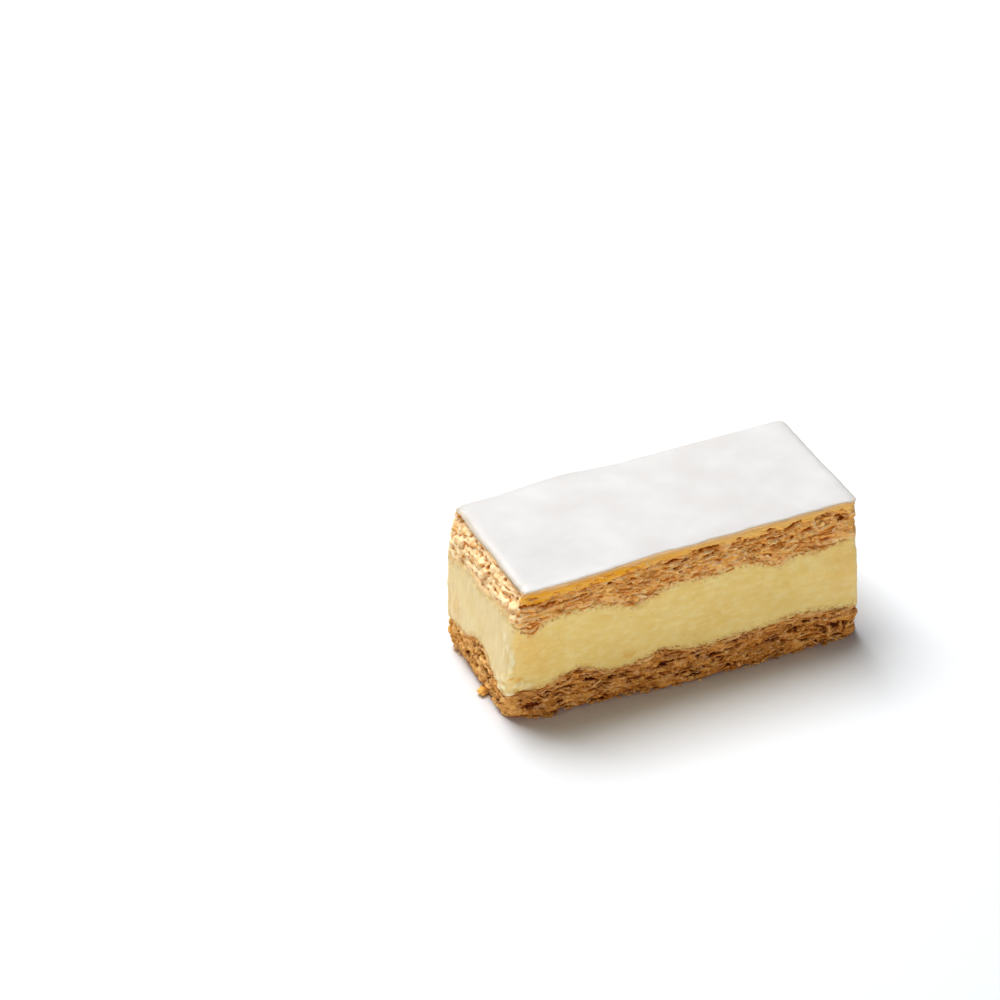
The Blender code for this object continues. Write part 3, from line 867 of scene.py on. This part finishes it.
class Nodes:
    """A material and short calls that add nodes to it."""

    def __init__(self, name):
        self.material = bpy.data.materials.new(name)
        self.material.use_nodes = True
        self.tree = self.material.node_tree
        self.shader = self.tree.nodes["Principled BSDF"]
        self.coords = self.tree.nodes.new("ShaderNodeTexCoord").outputs["Object"]

    def link(self, source, socket):
        self.tree.links.new(source, socket)

    def value(self, socket, given):
        if hasattr(given, "links"):
            self.link(given, socket)
        else:
            socket.default_value = given

    def field(self, name):
        node = self.tree.nodes.new("ShaderNodeAttribute")
        node.attribute_name = name
        return node.outputs["Fac"]

    def math(self, kind, a, b=0.0, c=0.0):
        node = self.tree.nodes.new("ShaderNodeMath")
        node.operation = kind
        for socket, given in zip(node.inputs, (a, b, c)):
            self.value(socket, given)
        return node.outputs[0]

    def spread(self, value, low, high, to_low=0.0, to_high=1.0):
        node = self.tree.nodes.new("ShaderNodeMapRange")
        for key, given in (("Value", value), ("From Min", low), ("From Max", high), ("To Min", to_low), ("To Max", to_high)):
            self.value(node.inputs[key], given)
        return node.outputs[0]

    def noise(self, size, detail=2.0, stretch=(1, 1, 1), rough=0.5, distortion=0.0):
        """Noise whose waves are size millimetres long."""
        mapping = self.tree.nodes.new("ShaderNodeMapping")
        mapping.inputs["Scale"].default_value = [s / (size * MM) for s in stretch]
        self.link(self.coords, mapping.inputs["Vector"])
        node = self.tree.nodes.new("ShaderNodeTexNoise")
        node.inputs["Scale"].default_value = 1.0
        node.inputs["Detail"].default_value = detail
        node.inputs["Roughness"].default_value = rough
        node.inputs["Distortion"].default_value = distortion
        self.link(mapping.outputs[0], node.inputs["Vector"])
        return node.outputs["Fac"]

    def facing(self, axis):
        """Part of the surface's direction along one axis, from -1 to 1."""
        node = self.tree.nodes.new("ShaderNodeSeparateXYZ")
        self.link(self.tree.nodes.new("ShaderNodeNewGeometry").outputs["Normal"], node.inputs[0])
        return node.outputs[axis]

    def mix(self, share, a, b):
        node = self.tree.nodes.new("ShaderNodeMix")
        node.data_type = "RGBA"
        self.value(node.inputs["Factor"], share)
        self.value(node.inputs[6], a)
        self.value(node.inputs[7], b)
        return node.outputs[2]

    def bump(self, height, distance, strength=1.0):
        node = self.tree.nodes.new("ShaderNodeBump")
        node.inputs["Strength"].default_value = strength
        node.inputs["Distance"].default_value = distance * MM
        self.link(height, node.inputs["Height"])
        self.link(node.outputs[0], self.shader.inputs["Normal"])


def srgb(code):
    """Linear colour of a hexadecimal sRGB code."""
    values = [int(code[k : k + 2], 16) / 255 for k in (0, 2, 4)]
    return (*(v / 12.92 if v <= 0.04045 else ((v + 0.055) / 1.055) ** 2.4 for v in values), 1.0)


def set_shader(shader, **values):
    for key, value in values.items():
        shader.inputs[key.replace("_", " ")].default_value = value


def pastry_material(name, tones):
    """Flaky dough. The meshes' fields say how deep each point lies, which is painted as shade, and how light, pale,
    skinned or moist it is; the lightness includes painted light on ledges that face up.
    """
    m = Nodes(name)
    colour = {key: srgb(code) for key, code in tones.items()}
    names = ("cavity_shade", "flake", "grain", "skin", "orange", "film", "moist", "pale")
    cavity_shade, flake, grain, skin, orange, film, moist, pale = (m.field(key) for key in names)
    blotch = m.noise(5.0, 3.0, (1, 1, 1.8))
    patch = m.noise(1.8, 3.0, (1, 1, 1.7))
    fine = m.noise(0.45, 3.0, (1, 1, 1.3))
    # The flake field holds each flake's own tone and, on the crumb, painted light on ledges that face up; the lightest
    # parts turn into cream flecks.
    lightness = m.math("ADD", m.math("MULTIPLY", flake, 0.6), m.math("MULTIPLY", grain, 0.2))
    lightness = m.math("ADD", lightness, m.spread(fine, 0.3, 0.7, -0.15, 0.3))
    base = m.mix(m.spread(lightness, 0.2, 0.75), colour["tan"], colour["light"])
    base = m.mix(m.spread(lightness, 0.62, 0.88, 0.0, 0.85), base, colour["fleck"])
    base = m.mix(m.math("MULTIPLY", pale, m.spread(lightness, 0.2, 0.7)), base, colour["cream"])
    dry = m.math("SUBTRACT", 1.0, m.math("MULTIPLY", pale, 0.6))
    base = m.mix(m.math("MULTIPLY", m.spread(patch, 0.52, 0.68, 0.0, 0.6), dry), base, colour["brown"])
    base = m.mix(m.math("MULTIPLY", m.spread(blotch, 0.45, 0.7, 0.0, 0.4), dry), base, colour["brown"])
    # Painted shade: deep points are painted brown, the deepest dark brown, or orange in the pale dough.
    base = m.mix(m.spread(cavity_shade, m.math("SUBTRACT", 0.22, m.math("MULTIPLY", pale, 0.12)), 0.6), base, colour["brown"])
    base = m.mix(m.spread(cavity_shade, 0.5, 0.95), base, m.mix(pale, colour["deep_shade"], colour["pale_deep_shade"]))
    soak = m.math("MULTIPLY", moist, m.spread(patch, 0.35, 0.6, 0.75, 0.35))
    base = m.mix(soak, base, colour["soaked"])
    smear = m.math("MULTIPLY", m.spread(moist, 0.75, 1.0), m.spread(fine, 0.4, 0.6, 0.1, 0.8))
    base = m.mix(smear, base, srgb("F0CC84"))
    streak = m.noise(4.0, 3.0, (0.5, 0.5, 3.5))
    gold = m.mix(m.math("MULTIPLY", orange, m.spread(streak, 0.35, 0.6, 0.55, 1.0)), colour["crust"], colour["gold"])
    base = m.mix(m.math("MULTIPLY", skin, m.spread(cavity_shade, 0.6, 0.2)), base, gold)
    # Painted light: the film along the dough's top edge is painted lighter where it faces sideways, in shade, and
    # greyer where it faces up into the light.
    painted_light_by_facing = m.mix(m.spread(m.facing("Z"), 0.3, 0.9), srgb("F3C089"), srgb("C8A278"))
    base = m.mix(m.math("MULTIPLY", film, m.spread(patch, 0.3, 0.7, 0.95, 0.6)), base, painted_light_by_facing)
    m.link(base, m.shader.inputs["Base Color"])
    m.bump(m.noise(0.28, 3.0, (1, 1, 1.4)), 0.10, 0.8)
    set_shader(m.shader, Roughness=0.68, Subsurface_Weight=0.3, Subsurface_Scale=0.0005, Specular_IOR_Level=0.12)
    m.shader.inputs["Subsurface Radius"].default_value = (1.0, 0.75, 0.5)
    return m.material


def custard_material():
    m = Nodes("custard")
    rim, pale, left_end_streaks_and_sheen = m.field("rim"), m.field("pale"), m.field("left_end_streaks_and_sheen")
    blotch = m.noise(9.0, 3.0)
    fine = m.noise(2.6, 3.0, (1, 1, 1.7))
    speck = m.noise(0.8, 4.0)
    stroke = m.noise(6.0, 3.0, (1, 1, 6))
    streak = m.noise(2.6, 3.0, (1, 1, 0.35), 0.5, 0.6)
    base = m.mix(m.spread(blotch, 0.35, 0.65), srgb("F6D580"), srgb("F1CD73"))
    base = m.mix(m.spread(fine, 0.42, 0.7, 0.0, 0.5), base, srgb("FBE4A0"))
    base = m.mix(m.spread(stroke, 0.5, 0.7, 0.0, 0.25), base, srgb("EDC468"))
    # Left end: streaks in a paler tone; the paleness is painted sheen.
    end = m.mix(m.spread(streak, 0.35, 0.7), srgb("E9CB88"), srgb("F0D89A"))
    base = m.mix(left_end_streaks_and_sheen, base, end)
    stain = m.math("MULTIPLY", m.spread(rim, 0.25, 1.0), m.spread(speck, 0.42, 0.62))
    base = m.mix(m.math("MULTIPLY", stain, 0.8), base, srgb("D9A55C"))
    base = m.mix(m.spread(pale, 0.0, 1.0), base, srgb("FBE9BC"))
    base = m.mix(m.spread(pale, 0.0, -1.0), base, srgb("E8A83C"))
    m.link(base, m.shader.inputs["Base Color"])
    m.bump(m.noise(1.1, 3.0), 0.12, 0.5)
    set_shader(m.shader, Roughness=0.45, Subsurface_Weight=0.35, Subsurface_Scale=0.003, Specular_IOR_Level=0.35)
    m.shader.inputs["Subsurface Radius"].default_value = (1.0, 0.7, 0.25)
    return m.material


def icing_material():
    m = Nodes("icing")
    blotch = m.noise(12.0, 3.0)
    base = m.mix(m.spread(blotch, 0.35, 0.7), srgb("D4CFCC"), srgb("DEDBD8"))
    # Painted light and shade on the rim: faces turned to the front, which lie in shade, are painted near white, and
    # faces turned left, towards the left lamp, are painted greyer.
    front = m.spread(m.facing("Y"), -0.18, -0.55)
    left = m.spread(m.facing("X"), -0.03, -0.35)
    base = m.mix(front, m.mix(left, base, srgb("BEB5AC")), srgb("FFFAF4"))
    # The foot of the icing turns cream to gold where it thins over the crust; on faces turned to the front this tint is
    # painted lighter, as painted light.
    base = m.mix(m.spread(m.field("foot"), 0.1, 0.9), base, m.mix(front, srgb("D2B890"), srgb("FFDDB8")))
    m.link(base, m.shader.inputs["Base Color"])
    m.bump(m.noise(2.5, 3.0), 0.08, 0.35)
    set_shader(m.shader, Roughness=0.34, Subsurface_Weight=0.6, Subsurface_Scale=0.003, Specular_IOR_Level=0.45)
    m.shader.inputs["Subsurface Radius"].default_value = (1.0, 0.92, 0.85)
    return m.material


# ---------------------------------------------------------------- stage, light and camera

def make_floor():
    mesh = bpy.data.meshes.new("floor")
    size = 4.0
    mesh.from_pydata([(-size, -size, 0), (size, -size, 0), (size, size, 0), (-size, size, 0)], [], [(0, 1, 2, 3)])
    material = bpy.data.materials.new("floor")
    material.use_nodes = True
    shader = material.node_tree.nodes["Principled BSDF"]
    shader.inputs["Base Color"].default_value = (0.79, 0.81, 0.84, 1)
    shader.inputs["Roughness"].default_value = 0.6
    mesh.materials.append(material)
    floor = bpy.data.objects.new("floor", mesh)
    bpy.context.scene.collection.objects.link(floor)


def area_light(name, at, aim, size, watts, colour=(1, 1, 1)):
    light = bpy.data.lights.new(name, "AREA")
    light.shape = "RECTANGLE"
    light.size, light.size_y = size
    light.energy = watts
    light.color = colour
    lamp = bpy.data.objects.new(name, light)
    bpy.context.scene.collection.objects.link(lamp)
    lamp.location = at
    lamp.rotation_euler = (Vector(aim) - Vector(at)).to_track_quat("-Z", "Y").to_euler()


def make_lights():
    middle = (0, 0, 0.02)
    area_light("key", (-0.16, 0.56, 1.22), middle, (0.9, 0.9), 28.8, (1.0, 0.995, 0.99))
    area_light("left_fill", (-1.1, 0.0, 0.22), middle, (0.6, 0.3), 1.15, (1.0, 0.99, 0.97))
    area_light("front_fill", (-0.2, -1.15, 0.11), middle, (1.0, 0.2), 4.3, (1.0, 0.995, 0.985))
    world = bpy.data.worlds.new("studio")
    world.use_nodes = True
    world.node_tree.nodes["Background"].inputs["Color"].default_value = (0.74, 0.88, 1.0, 1)
    world.node_tree.nodes["Background"].inputs["Strength"].default_value = 0.10
    bpy.context.scene.world = world


def make_camera():
    data = bpy.data.cameras.new("camera")
    data.lens = CAMERA["lens"]
    data.sensor_width = 36.0
    data.clip_start, data.clip_end = 0.05, 20.0
    camera = bpy.data.objects.new("camera", data)
    bpy.context.scene.collection.objects.link(camera)
    at, aim = (Vector(CAMERA[key]) * MM for key in ("at", "aim"))
    camera.location = at
    camera.rotation_euler = (aim - at).to_track_quat("-Z", "Y").to_euler()
    bpy.context.scene.camera = camera
    bpy.context.scene.view_settings.view_transform = "Standard"


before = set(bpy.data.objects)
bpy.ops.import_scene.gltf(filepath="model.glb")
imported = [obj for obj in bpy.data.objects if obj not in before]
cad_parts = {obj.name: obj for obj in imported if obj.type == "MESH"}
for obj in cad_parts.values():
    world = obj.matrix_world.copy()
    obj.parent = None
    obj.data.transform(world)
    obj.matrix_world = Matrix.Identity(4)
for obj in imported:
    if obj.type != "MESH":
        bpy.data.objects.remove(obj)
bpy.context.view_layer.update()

FINE = Outline(ALONG)
SHEETED = Outline(0.50)
MEDIUM = Outline(0.42)

LOWER_TONES = {
    "light": "F2AE54", "tan": "C27A26", "brown": "984A10", "deep_shade": "561E08", "gold": "C68A3E", "crust": "A8682C",
    "fleck": "FFD098", "soaked": "E2AC70", "cream": "FFCC7A", "pale_deep_shade": "7A3408",
}
UPPER_TONES = {
    "light": "FFCE7E", "tan": "F0AA4C", "brown": "DC8C2E", "deep_shade": "A45812", "gold": "FAAC1E", "crust": "FFCE7C",
    "fleck": "FFE0B4", "soaked": "F8CE98", "cream": "FFE2B4", "pale_deep_shade": "CC7E30",
}
lower_look = pastry_material("lower_pastry", LOWER_TONES)
upper_look = pastry_material("upper_pastry", UPPER_TONES)
make_pastry("lower_pastry", LOWER, lower_look)
make_pastry("upper_pastry", UPPER, upper_look)
make_sheets("lower_pastry", LOWER, lower_look)
make_sheets("upper_pastry", UPPER, upper_look)
scatter_chips("lower_pastry", LOWER, lower_look, 71)
scatter_chips("upper_pastry", UPPER, upper_look, 72)
make_foot_crumbs(upper_look)
make_custard(custard_material())
make_icing(icing_material())
make_floor()
make_lights()
make_camera()
